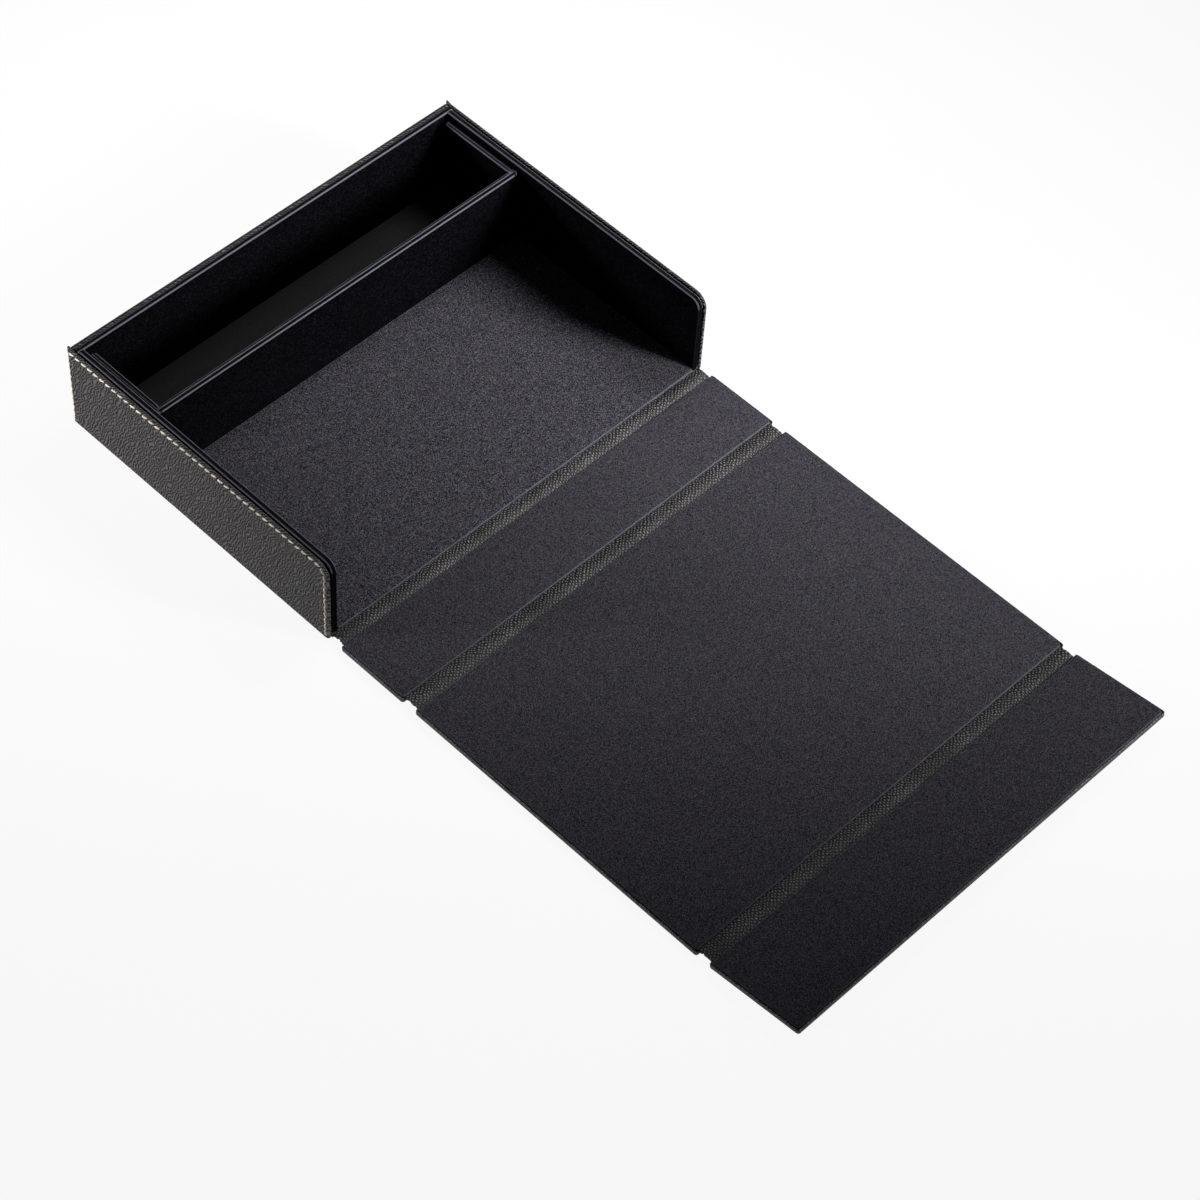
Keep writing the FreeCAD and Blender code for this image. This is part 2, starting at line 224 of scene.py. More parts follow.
def addRange(tree, x, y, value, fromMax=1.0, toMin=0.0, toMax=1.0, curve="LINEAR"):
    made = addNode(tree, "ShaderNodeMapRange", x, y, interpolation_type=curve)
    made.inputs["From Max"].default_value = fromMax
    made.inputs["To Min"].default_value = toMin
    made.inputs["To Max"].default_value = toMax
    tree.links.new(value, made.inputs["Value"])
    return made.outputs["Result"]


def openGroup(name, inputs, outputs):
    group = bpy.data.node_groups.new(name, "ShaderNodeTree")
    for label, kind, value in inputs:
        socket = group.interface.new_socket(name=label, in_out="INPUT", socket_type=kind)
        socket.default_value = value
    for label in outputs:
        group.interface.new_socket(name=label, in_out="OUTPUT", socket_type="NodeSocketFloat")
    return group, addNode(group, "NodeGroupInput", -900, 0), addNode(group, "NodeGroupOutput", 900, 0)


def openLeatherGroup(name, cells, warp):
    return openGroup(
        name,
        [("Vector", "NodeSocketVector", (0, 0, 0)), ("Cells", "NodeSocketFloat", cells),
         ("Warp", "NodeSocketFloat", warp)],
        ["Height", "Crease", "Mottle"])


def closeLeatherGroup(group, out, height, crease, pores, poreShow, mottle):
    # fine pores on the height, and broad patches of lighter and darker leather
    link = group.links.new
    fine = addNode(group, "ShaderNodeMath", 320, -100, operation="MULTIPLY_ADD")
    fine.inputs[1].default_value = poreShow
    link(pores.outputs["Fac"], fine.inputs[0])
    link(height, fine.inputs[2])
    link(fine.outputs[0], out.inputs["Height"])
    link(crease, out.inputs["Crease"])
    link(mottle.outputs["Fac"], out.inputs["Mottle"])


def makeGrain():
    # pebbled leatherette: domed cells with creases between them
    group, into, out = openLeatherGroup("leatherGrain", 600.0, 0.0006)
    link = group.links.new
    place = into.outputs["Vector"]
    warp = addNoise(group, -900, -300, place, scale=420)
    centred = addNode(group, "ShaderNodeVectorMath", -720, -300, operation="SUBTRACT")
    centred.inputs[1].default_value = (0.5, 0.5, 0.5)
    link(warp.outputs["Color"], centred.inputs[0])
    sized = addNode(group, "ShaderNodeVectorMath", -560, -300, operation="SCALE")
    link(centred.outputs[0], sized.inputs[0])
    link(into.outputs["Warp"], sized.inputs["Scale"])
    moved = addNode(group, "ShaderNodeVectorMath", -400, -150, operation="ADD")
    link(place, moved.inputs[0])
    link(sized.outputs[0], moved.inputs[1])
    cells = addNode(group, "ShaderNodeTexVoronoi", -60, 100, feature="DISTANCE_TO_EDGE")
    link(moved.outputs[0], cells.inputs["Vector"])
    link(into.outputs["Cells"], cells.inputs["Scale"])
    edge = cells.outputs["Distance"]
    dome = addRange(group, 140, 100, edge, fromMax=0.34, curve="SMOOTHSTEP")
    crease = addRange(group, 140, 360, edge, fromMax=0.2, toMin=1, toMax=0, curve="SMOOTHSTEP")
    pores = addNoise(group, -60, -200, place, scale=2600)
    mottle = addNoise(group, -60, -480, place, scale=55, detail=3)
    closeLeatherGroup(group, out, dome, crease, pores, 0.3, mottle)
    return group


def makeWrinkle():
    # winding wrinkles of the side leatherette: soft ridges with narrow valleys between them
    group, into, out = openLeatherGroup("leatherWrinkle", 260.0, 8.0)
    link = group.links.new
    place = into.outputs["Vector"]
    wave = addNode(group, "ShaderNodeTexWave", -460, 0, wave_type="BANDS", bands_direction="DIAGONAL",
                   wave_profile="SIN")
    wave.inputs["Detail"].default_value = 1.5
    wave.inputs["Detail Scale"].default_value = 0.8
    link(place, wave.inputs["Vector"])
    link(into.outputs["Cells"], wave.inputs["Scale"])
    link(into.outputs["Warp"], wave.inputs["Distortion"])
    ridge = wave.outputs["Fac"]
    crease = addRange(group, 160, 360, ridge, fromMax=0.8, toMin=1, toMax=0, curve="SMOOTHSTEP")
    pores = addNoise(group, -60, -200, place, scale=2200)
    mottle = addNoise(group, -60, -480, place, scale=120, detail=4)
    closeLeatherGroup(group, out, ridge, crease, pores, 0.25, mottle)
    return group


def makePile():
    # velvet: short pile seen as fine light and dark tips, some bluish, some brownish, brushed in patches
    group, into, out = openGroup(
        "velvetPile",
        [("Vector", "NodeSocketVector", (0, 0, 0)), ("Tips", "NodeSocketFloat", 1900.0),
         ("Sparse", "NodeSocketFloat", 1.0)],
        ["Speckle", "Tint", "Brush", "Height"])
    link = group.links.new
    place = into.outputs["Vector"]
    tips = addNode(group, "ShaderNodeTexVoronoi", -500, 200, feature="F1")
    link(place, tips.inputs["Vector"])
    link(into.outputs["Tips"], tips.inputs["Scale"])
    parts = addNode(group, "ShaderNodeSeparateColor", -300, 300)
    link(tips.outputs["Color"], parts.inputs["Color"])
    speckle = addNode(group, "ShaderNodeMath", -60, 300, operation="POWER")
    link(parts.outputs["Red"], speckle.inputs[0])
    link(into.outputs["Sparse"], speckle.inputs[1])
    rounded = addNode(group, "ShaderNodeMath", -60, 60, operation="SUBTRACT")
    link(parts.outputs["Blue"], rounded.inputs[0])
    link(tips.outputs["Distance"], rounded.inputs[1])
    brush = addNoise(group, -300, -260, place, scale=28, detail=3)
    link(speckle.outputs[0], out.inputs["Speckle"])
    link(parts.outputs["Green"], out.inputs["Tint"])
    link(brush.outputs["Fac"], out.inputs["Brush"])
    link(rounded.outputs[0], out.inputs["Height"])
    return group


grainGroup = makeGrain()
wrinkleGroup = makeWrinkle()
pileGroup = makePile()


def openFinish(name, roughness=0.6):
    finish = bpy.data.materials.new(name)
    finish.use_nodes = True
    tree = finish.node_tree
    tree.nodes.clear()
    shader = addNode(tree, "ShaderNodeBsdfPrincipled", 500, 0)
    shader.inputs["Roughness"].default_value = roughness
    end = addNode(tree, "ShaderNodeOutputMaterial", 800, 0)
    tree.links.new(shader.outputs["BSDF"], end.inputs["Surface"])
    where = addNode(tree, "ShaderNodeTexCoord", -900, 0)
    return finish, tree, shader, where.outputs["Object"]


def blendColour(tree, x, y, factor, first, second):
    # a colour is given as a tuple or comes from another node
    mix = addNode(tree, "ShaderNodeMix", x, y, data_type="RGBA")
    tree.links.new(factor, mix.inputs[0])
    for socket, value in ((mix.inputs[6], first), (mix.inputs[7], second)):
        if isinstance(value, tuple):
            socket.default_value = (*value, 1)
        else:
            tree.links.new(value, socket)
    return mix.outputs[2]


def scaled(tree, x, y, value, factor):
    step = addNode(tree, "ShaderNodeMath", x, y, operation="MULTIPLY")
    step.inputs[1].default_value = factor
    tree.links.new(value, step.inputs[0])
    return step.outputs[0]


def bumped(tree, shader, height, strength, depth):
    bump = addNode(tree, "ShaderNodeBump", 280, -320)
    bump.inputs["Strength"].default_value = strength
    bump.inputs["Distance"].default_value = depth
    tree.links.new(height, bump.inputs["Height"])
    tree.links.new(bump.outputs["Normal"], shader.inputs["Normal"])


seamShade = 0.9  # how far the painted shade in the seam's groove takes the creases' colour
pileDepth = 0.3 * mm


def makeLeather(name, look):
    finish, tree, shader, place = openFinish(name)
    grain = addNode(tree, "ShaderNodeGroup", -600, 100, node_tree=look["grain"])
    grain.inputs["Cells"].default_value = look["cells"]
    grain.inputs["Warp"].default_value = look["warp"]
    lean = addNode(tree, "ShaderNodeMapping", -780, 100)
    lean.inputs["Rotation"].default_value = (math.radians(look["lean"]), 0, 0)
    tree.links.new(place, lean.inputs["Vector"])
    tree.links.new(lean.outputs["Vector"], grain.inputs["Vector"])
    colour = blendColour(tree, -300, 250, grain.outputs["Mottle"], look["dark"], look["light"])
    fold = addNode(tree, "ShaderNodeAttribute", -600, -250, attribute_name="fold")
    # painted highlight: the fold mask, mottled, lightens the rounded edges and rims towards the highlight
    # colour
    highlight = addNode(tree, "ShaderNodeMath", -300, -200, operation="MULTIPLY")
    tree.links.new(fold.outputs["Fac"], highlight.inputs[0])
    tree.links.new(grain.outputs["Mottle"], highlight.inputs[1])
    colour = blendColour(tree, -100, 250, highlight.outputs[0], colour, look["highlight"])
    # painted shade in the creases between the grain's domes and ridges
    creased = scaled(tree, -300, 40, grain.outputs["Crease"], look["creaseShade"])
    colour = blendColour(tree, 60, 250, creased, colour, look["crease"])
    # painted shade along the seam's groove, plus the darker top band that darkenRim writes
    seamLine = addNode(tree, "ShaderNodeAttribute", -600, -450, attribute_name="seam")
    grooveShade = scaled(tree, -300, -420, seamLine.outputs["Fac"], seamShade)
    colour = blendColour(tree, 220, 250, grooveShade, colour, look["crease"])
    tree.links.new(colour, shader.inputs["Base Color"])
    smooth, coarse = look["rough"]
    rough = addRange(tree, 120, 0, grain.outputs["Crease"], toMin=smooth, toMax=coarse)
    tree.links.new(rough, shader.inputs["Roughness"])
    shader.inputs["Specular IOR Level"].default_value = look["gloss"]
    bumped(tree, shader, grain.outputs["Height"], look["bump"], look["depth"])
    return finish


def makeVelvet(name, look):
    finish, tree, shader, place = openFinish(name, 0.95)
    pile = addNode(tree, "ShaderNodeGroup", -600, 100, node_tree=pileGroup)
    pile.inputs["Tips"].default_value = look["tips"]
    pile.inputs["Sparse"].default_value = look["sparse"]
    tree.links.new(place, pile.inputs["Vector"])
    tinted = blendColour(tree, -300, 250, pile.outputs["Tint"], look["blue"], look["brown"])
    colour = blendColour(tree, -100, 250, pile.outputs["Speckle"], look["deep"], tinted)
    brushed = scaled(tree, -300, 0, pile.outputs["Brush"], look["brush"])
    colour = blendColour(tree, 80, 250, brushed, colour, look["laid"])
    # painted highlight along the rounded folds, where the pile catches light
    fold = addNode(tree, "ShaderNodeAttribute", -600, -250, attribute_name="fold")
    lit = scaled(tree, -100, -120, fold.outputs["Fac"], look["foldHighlight"])
    colour = blendColour(tree, 260, 250, lit, colour, look["fold"])
    tree.links.new(colour, shader.inputs["Base Color"])
    shader.inputs["Specular IOR Level"].default_value = look["gloss"]
    shader.inputs["Sheen Weight"].default_value = look["sheen"]
    shader.inputs["Sheen Roughness"].default_value = 0.5
    shader.inputs["Sheen Tint"].default_value = (*look["sheenTint"], 1)
    bumped(tree, shader, pile.outputs["Height"], look["bump"], pileDepth)
    return finish


sideLeatherLook = {
    "grain": wrinkleGroup, "cells": 270.0, "warp": 10.0, "lean": 20.0,
    "dark": (0.054, 0.0477, 0.0492), "light": (0.079, 0.0698, 0.0721), "crease": (0.003, 0.0026, 0.0028),
    "creaseShade": 0.95, "highlight": (0.24, 0.224, 0.228), "rough": (0.5, 0.7), "gloss": 0.25,
    "bump": 1.0, "depth": 0.8 * mm}
panelLeatherLook = {
    "grain": grainGroup, "cells": 720.0, "warp": 0.0006, "lean": 0.0,
    "dark": (0.052, 0.048, 0.049), "light": (0.082, 0.076, 0.078), "crease": (0.006, 0.0056, 0.0058),
    "creaseShade": 0.95, "highlight": (0.36, 0.34, 0.355), "rough": (0.45, 0.65), "gloss": 0.3,
    "bump": 0.7, "depth": 0.3 * mm}
# on the strips the fold mask holds painted highlights on the beads' tips, and the near-black base colours
# are painted shade between the beads
stripLeatherLook = {
    "grain": grainGroup, "cells": 1600.0, "warp": 0.0003, "lean": 0.0,
    "dark": (0.006, 0.0057, 0.006), "light": (0.010, 0.0095, 0.010), "crease": (0.005, 0.0048, 0.005),
    "creaseShade": 0.3, "highlight": (0.42, 0.399, 0.414), "rough": (0.5, 0.65), "gloss": 0.25,
    "bump": 0.3, "depth": 0.1 * mm}
linerVelvetLook = {
    "tips": 3700.0, "sparse": 3.4, "blue": (0.178, 0.175, 0.274), "brown": (0.229, 0.206, 0.184),
    "deep": (0.006, 0.006, 0.008), "brush": 0.12, "laid": (0.038, 0.036, 0.042),
    "foldHighlight": 0.6, "fold": (0.13, 0.13, 0.155), "gloss": 0.0, "sheen": 0.03,
    "sheenTint": (0.75, 0.76, 1.0), "bump": 0.4}
# the cover's cards are brushed smoother than the floor
coverVelvetLook = dict(linerVelvetLook, tips=3900.0, sparse=2.0, blue=(0.114, 0.112, 0.172),
                       brown=(0.148, 0.133, 0.119), brush=0.1, bump=0.3)
# painted shade: the walls and divider carry the same velvet as the floor, drawn far darker here for how
# little light its pile gives back on these faces
wallVelvetLook = {
    "tips": 2300.0, "sparse": 6.0, "blue": (0.0135, 0.0135, 0.0195), "brown": (0.012, 0.0112, 0.0112),
    "deep": (0.0008, 0.0008, 0.0011), "brush": 0.25, "laid": (0.0014, 0.0014, 0.0018),
    "foldHighlight": 0.85, "fold": (0.116, 0.116, 0.140), "gloss": 0.0, "sheen": 0.004,
    "sheenTint": (0.75, 0.76, 1.0), "bump": 0.25}

sideLeather = makeLeather("sideLeather", sideLeatherLook)
panelLeather = makeLeather("panelLeather", panelLeatherLook)
stripLeather = makeLeather("stripLeather", stripLeatherLook)
linerVelvet = makeVelvet("linerVelvet", linerVelvetLook)
coverVelvet = makeVelvet("coverVelvet", coverVelvetLook)
wallVelvet = makeVelvet("wallVelvet", wallVelvetLook)

paperLook = {"fibres": 700, "dark": (0.004, 0.004, 0.004), "light": (0.020, 0.020, 0.020), "cloud": 30,
             "cloudColour": (0.0125, 0.0125, 0.0125), "cloudShow": 0.4, "gloss": 0.2, "bump": 0.2,
             "depth": 0.1 * mm}
threadLook = {"dark": (0.84, 0.71, 0.58), "light": (1.0, 0.92, 0.82), "fluff": 4000,
              "fluffColour": (0.93, 0.81, 0.68), "fluffShow": 0.35, "sheen": 0.15, "bump": 0.3,
              "depth": 0.15 * mm}
boardLook = {"fibres": 900, "dark": (0.17, 0.165, 0.15), "light": (0.30, 0.29, 0.27), "flecks": 350,
             "fleckColour": (0.11, 0.105, 0.1), "fleckSize": 0.18, "fleckShow": 0.6, "bump": 0.3,
             "depth": 0.2 * mm}
steelLook = {"turning": 1500, "dark": (0.52, 0.52, 0.53), "light": (0.64, 0.64, 0.65),
             "rough": (0.25, 0.45)}


def makePaper():
    finish, tree, shader, place = openFinish("darkPaper", 0.85)
    fibres = addNoise(tree, -500, 100, place, paperLook["fibres"], detail=4).outputs["Fac"]
    cloud = addNoise(tree, -500, -150, place, paperLook["cloud"]).outputs["Fac"]
    colour = blendColour(tree, -200, 150, fibres, paperLook["dark"], paperLook["light"])
    soft = scaled(tree, -200, -50, cloud, paperLook["cloudShow"])
    colour = blendColour(tree, 0, 150, soft, colour, paperLook["cloudColour"])
    tree.links.new(colour, shader.inputs["Base Color"])
    shader.inputs["Specular IOR Level"].default_value = paperLook["gloss"]
    bumped(tree, shader, fibres, paperLook["bump"], paperLook["depth"])
    return finish


def makeThread():
    finish, tree, shader, place = openFinish("stitchThread", 0.55)
    ply = addNode(tree, "ShaderNodeAttribute", -600, 150, attribute_name="ply")
    fluff = addNoise(tree, -600, -150, place, threadLook["fluff"]).outputs["Fac"]
    # painted light and shade: the plies' crests lighter, the hollows between them darker
    colour = blendColour(tree, -300, 150, ply.outputs["Fac"], threadLook["dark"], threadLook["light"])
    soft = scaled(tree, -300, -60, fluff, threadLook["fluffShow"])
    colour = blendColour(tree, -80, 150, soft, colour, threadLook["fluffColour"])
    tree.links.new(colour, shader.inputs["Base Color"])
    shader.inputs["Sheen Weight"].default_value = threadLook["sheen"]
    bumped(tree, shader, fluff, threadLook["bump"], threadLook["depth"])
    return finish


def makeBoard():
    finish, tree, shader, place = openFinish("greyBoard", 0.9)
    fibres = addNoise(tree, -500, 100, place, boardLook["fibres"], detail=5).outputs["Fac"]
    flecks = addNode(tree, "ShaderNodeTexVoronoi", -500, -150)
    flecks.inputs["Scale"].default_value = boardLook["flecks"]
    tree.links.new(place, flecks.inputs["Vector"])
    dot = addRange(tree, -300, -150, flecks.outputs["Distance"], fromMax=boardLook["fleckSize"],
                   toMin=boardLook["fleckShow"], toMax=0)
    colour = blendColour(tree, -100, 150, fibres, boardLook["dark"], boardLook["light"])
    colour = blendColour(tree, 100, 150, dot, colour, boardLook["fleckColour"])
    tree.links.new(colour, shader.inputs["Base Color"])
    bumped(tree, shader, fibres, boardLook["bump"], boardLook["depth"])
    return finish


def makeSteel():
    finish, tree, shader, place = openFinish("platedSteel", 0.35)
    shader.inputs["Metallic"].default_value = 1.0
    turned = addNoise(tree, -500, 100, place, steelLook["turning"], detail=3).outputs["Fac"]
    smooth, coarse = steelLook["rough"]
    rough = addRange(tree, -200, 0, turned, toMin=smooth, toMax=coarse)
    tree.links.new(rough, shader.inputs["Roughness"])
    colour = blendColour(tree, -200, 200, turned, steelLook["dark"], steelLook["light"])
    tree.links.new(colour, shader.inputs["Base Color"])
    return finish


darkPaper = makePaper()
stitchThread = makeThread()
greyBoard = makeBoard()
platedSteel = makeSteel()
print("finishes ready")


# leatherette side panels with their sewn edge

sidePanel = {"topCorner": 8.5 * mm, "topSteps": 10, "foot": 3.0 * mm, "footSteps": 6, "edge": 0.85 * mm,
             "edgeSteps": 4, "softAngle": 50, "thin": 0.55 * mm, "grooveDepth": 0.36 * mm,
             "grooveWidth": 0.55 * mm, "puff": 0.14 * mm, "puffAway": 1.6 * mm, "puffWidth": 0.7 * mm,
             "ear": 1.1 * mm, "earReach": 3.2 * mm, "earHeight": 4.0 * mm, "earCurve": 1.5}
seam = {"drop": 1.9 * mm, "front": 2.5 * mm, "back": 1.2 * mm, "corner": 6.3 * mm, "foot": 2.0 * mm,
        "pitch": 4.6 * mm}
panelLow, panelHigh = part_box("left_side_panel")
panelHigh.x -= sidePanel["thin"]  # dark slit beside the velvet wall
seamFront = panelLow.y + seam["front"]
seamBack = panelHigh.y - seam["back"]
seamTop = panelHigh.z - seam["drop"]
# rows of cuts, close together beside the seam: axis, first place, step, number
seamCuts = [
    (1, panelLow.y + 1.0 * mm, 0.4 * mm, 24),
    (1, panelLow.y + 20 * mm, 12 * mm, 14),
    (1, panelHigh.y - 4.2 * mm, 0.3 * mm, 14),
    (2, panelHigh.z - 10 * mm, 0.4 * mm, 24),
    (2, 6 * mm, 7 * mm, 6)]


def seamDistance(y, z):
    # how far a point of the panel's face is from the line of stitches
    midY, midZ = seamFront + seam["corner"], seamTop - seam["corner"]
    if y < midY and z > midZ:
        return abs(math.hypot(y - midY, z - midZ) - seam["corner"])
    nearest = abs(y - seamFront) if y < midY else abs(z - seamTop)
    return min(nearest, abs(y - seamBack))


def makeSidePanel():
    piece = openCube("leftSideLeather", panelLow, panelHigh)
    middle = (panelLow + panelHigh) / 2
    pickEdges(piece, lambda m, d: runsAlong(d, 0) and m.y < middle.y and m.z > middle.z)
    roundPicked(sidePanel["topCorner"], sidePanel["topSteps"])
    pickEdges(piece, lambda m, d: runsAlong(d, 0) and m.y < panelLow.y + touch and m.z < panelLow.z + touch)
    roundPicked(sidePanel["foot"], sidePanel["footSteps"])
    pickEdges(piece, lambda m, d: runsAcross(d, 0))
    roundPicked(sidePanel["edge"], sidePanel["edgeSteps"])
    for axis, start, step, count in seamCuts:
        cutAcross(axis, [start + step * i for i in range(count)])
    work = bmesh.from_edit_mesh(piece.data)
    # the groove's depth, kept as the mask for painted shade along the seam
    grooveShade = work.verts.layers.float.new("seam")
    for point in work.verts:
        if point.co.z > panelHigh.z - sidePanel["earHeight"]:
            # the glued corner stands up a little at the back
            near = max(0, 1 - (panelHigh.y - point.co.y) / sidePanel["earReach"])
            point.co.z += sidePanel["ear"] * near ** sidePanel["earCurve"]
        if point.co.x > panelLow.x + hair:
            continue
        away = seamDistance(point.co.y, point.co.z)
        depth = math.exp(-(away / sidePanel["grooveWidth"]) ** 2)
        puff = math.exp(-((away - sidePanel["puffAway"]) / sidePanel["puffWidth"]) ** 2)
        point.co.x += sidePanel["grooveDepth"] * depth - sidePanel["puff"] * puff
        point[grooveShade] = depth
    bmesh.update_edit_mesh(piece.data)
    shutPiece(piece, sidePanel["softAngle"])
    markFolds(piece, 0)
    return piece


leftSide = makeSidePanel()
rightSide = mirrorCopy(leftSide, "rightSideLeather")
darkenRim(rightSide, darkBand["side"])
settle(leftSide, "tray", ["left_side_panel"], sideLeather)
settle(rightSide, "tray", ["right_side_panel"], sideLeather)
print("side panels ready")


# stitches, one thread shaped once and laid along the row

thread = {"radius": 0.54 * mm, "length": 4.15 * mm, "sides": 8, "cutStep": 0.14, "turns": 1.1,
          "slim": 0.86, "lobe": 0.18, "taper": 0.75, "taperPower": 5, "tip": 0.12, "dive": 0.6 * mm,
          "divePower": 7, "softAngle": 80, "sit": 0.12 * mm, "sink": 0.25, "lean": 15, "sway": 3,
          "swayStep": 2.3}


def makeStitch():
    # lies along Y, with +X away from the leather; the ends go down into their needle holes
    letGo()
    bpy.ops.mesh.primitive_cylinder_add(vertices=thread["sides"], radius=thread["radius"],
                                        depth=thread["length"], rotation=(math.pi / 2, 0, 0))
    piece = bpy.context.object
    piece.name = "stitch"
    bpy.ops.object.transform_apply(location=True, rotation=True, scale=True)
    bpy.ops.object.mode_set(mode="EDIT")
    cutAcross(1, [thread["length"] * thread["cutStep"] * i for i in range(-3, 4)])
    work = bmesh.from_edit_mesh(piece.data)
    plies = work.verts.layers.float.new("ply")
    for point in work.verts:
        t = 2 * point.co.y / thread["length"]
        turn = math.atan2(point.co.z, point.co.x)
        lobe = abs(math.cos(turn - t * thread["turns"] * math.pi))
        taper = 1 - thread["taper"] * abs(t) ** thread["taperPower"]
        size = (thread["slim"] + thread["lobe"] * lobe) * math.sqrt(max(thread["tip"], taper))
        point.co.x = point.co.x * size - thread["dive"] * abs(t) ** thread["divePower"]
        point.co.z = point.co.z * size
        # 1 on the plies' crests, the mask for the thread's painted light and shade
        point[plies] = lobe
    bmesh.update_edit_mesh(piece.data)
    shutPiece(piece, thread["softAngle"])
    return piece


def seamPoint(s):
    # place and direction along the row, from the back foot up, along the top, round the corner and down
    rise = seamTop - seam["foot"]
    run = seamBack - seamFront - seam["corner"]
    bend = seam["corner"] * math.pi / 2
    if s < rise:
        return Vector((0, seamBack, seam["foot"] + s)), Vector((0, 0, 1))
    s -= rise
    if s < run:
        return Vector((0, seamBack - s, seamTop)), Vector((0, -1, 0))
    s -= run
    if s < bend:
        turn = s / seam["corner"]
        mid = Vector((0, seamFront + seam["corner"], seamTop - seam["corner"]))
        return (mid + seam["corner"] * Vector((0, -math.sin(turn), math.cos(turn))),
                Vector((0, -math.cos(turn), -math.sin(turn))))
    s -= bend
    return Vector((0, seamFront, seamTop - seam["corner"] - s)), Vector((0, 0, -1))


def seamLength():
    rise = seamTop - seam["foot"]
    run = seamBack - seamFront - seam["corner"]
    return rise + run + seam["corner"] * math.pi / 2 + rise - seam["corner"]


def makeRow(name, stitch):
    count = int(seamLength() / seam["pitch"])
    step = seamLength() / count
    copies = []
    for i in range(count):
        middle, along = seamPoint((i + 0.5) * step)
        out = Vector((-1, 0, 0))
        across = out.cross(along)
        # every stitch lies a little across the row
        lean = math.radians(thread["lean"] + thread["sway"] * math.sin(i * thread["swayStep"]))
        turned = Matrix((out, along, across)).transposed().to_4x4() @ Matrix.Rotation(lean, 4, "X")
        middle.x = panelLow.x - thread["sit"] + sidePanel["grooveDepth"] * thread["sink"]
        copy = stitch.copy()
        copy.data = stitch.data.copy()
        bpy.context.scene.collection.objects.link(copy)
        copy.data.transform(Matrix.Translation(middle) @ turned)
        copies.append(copy)
    letGo()
    for copy in copies:
        copy.select_set(True)
    bpy.context.view_layer.objects.active = copies[0]
    bpy.ops.object.join()
    copies[0].name = copies[0].data.name = name
    return copies[0]


oneStitch = makeStitch()
leftRow = makeRow("leftStitches", oneStitch)
bpy.data.objects.remove(oneStitch)
rightRow = mirrorCopy(leftRow, "rightStitches")
settle(leftRow, "tray", ["left_stitching"], stitchThread)
settle(rightRow, "tray", ["right_stitching"], stitchThread)
print("stitches ready")


# velvet walls, wrapped boards with folded rims

wallPiece = {"topCorner": 6.0 * mm, "topSteps": 10, "gap": 0.5 * mm, "fold": 0.75 * mm, "steps": 4,
             "endCut": 0.2 * mm, "rim": 0.03, "frontShow": 0.05}


def makeSideWall():
    low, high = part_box("left_wall_velvet")
    low.x += wallPiece["gap"]  # the dark slit beside the leatherette
    piece = openCube("leftWallVelvet", low, high)
    middle = (low + high) / 2
    pickEdges(piece, lambda m, d: runsAlong(d, 0) and m.y < middle.y and m.z > middle.z)
    roundPicked(wallPiece["topCorner"], wallPiece["topSteps"])
    pickEdges(piece, lambda m, d: runsAcross(d, 0) and m.z > low.z + touch and m.y < high.y - touch)
    roundPicked(wallPiece["fold"], wallPiece["steps"])
    cutAcross(1, [high.y - wallPiece["endCut"]])
    cutAcross(2, [low.z + wallPiece["endCut"]])
    shutPiece(piece)
    markFolds(piece, 0, wallPiece["rim"])
    # painted highlight along the folds of the top; down the front end it is kept faint
    folds = piece.data.attributes["fold"]
    for point in piece.data.vertices:
        if point.co.z < high.z - wallPiece["topCorner"]:
            folds.data[point.index].value *= wallPiece["frontShow"]
    return piece


leftWall = makeSideWall()
rightWall = mirrorCopy(leftWall, "rightWallVelvet")
settle(leftWall, "tray", ["left_wall_velvet"], wallVelvet)
settle(rightWall, "tray", ["right_wall_velvet"], wallVelvet)

backPiece = {"leatherEdge": 0.8 * mm, "gap": 0.4 * mm, "fold": 0.8 * mm, "steps": 4}


def makeBackWall(name, node, radius, gap):
    low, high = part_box(node)
    high.y -= gap
    piece = openCube(name, low, high)
    pickEdges(piece, lambda m, d: runsAlong(d, 0) and m.z > high.z - touch)
    roundPicked(radius, backPiece["steps"])
    cutAcross(0, [low.x + wallPiece["endCut"], high.x - wallPiece["endCut"]])
    shutPiece(piece)
    markFolds(piece, 1, wallPiece["rim"])
    return piece


backLeather = makeBackWall("backLeather", "back_panel", backPiece["leatherEdge"], 0)
backVelvet = makeBackWall("backWallVelvet", "back_wall_velvet", backPiece["fold"], backPiece["gap"])
darkenRim(backLeather, darkBand["back"])
settle(backLeather, "tray", ["back_panel"], sideLeather)
settle(backVelvet, "tray", ["back_wall_velvet"], wallVelvet)

dividerPiece = {"wall": 4.3 * mm, "corner": 3.6 * mm, "boardCorner": 3.0 * mm, "cornerSteps": 8,
                "notch": 1.1 * mm, "notchDepth": 0.45 * mm, "fold": 0.7 * mm, "steps": 4,
                "frontLayer": 2.5 * mm, "endLayer": 2.3 * mm, "slit": 0.5 * mm, "slitDepth": 0.5 * mm,
                "endRound": 1.5 * mm}


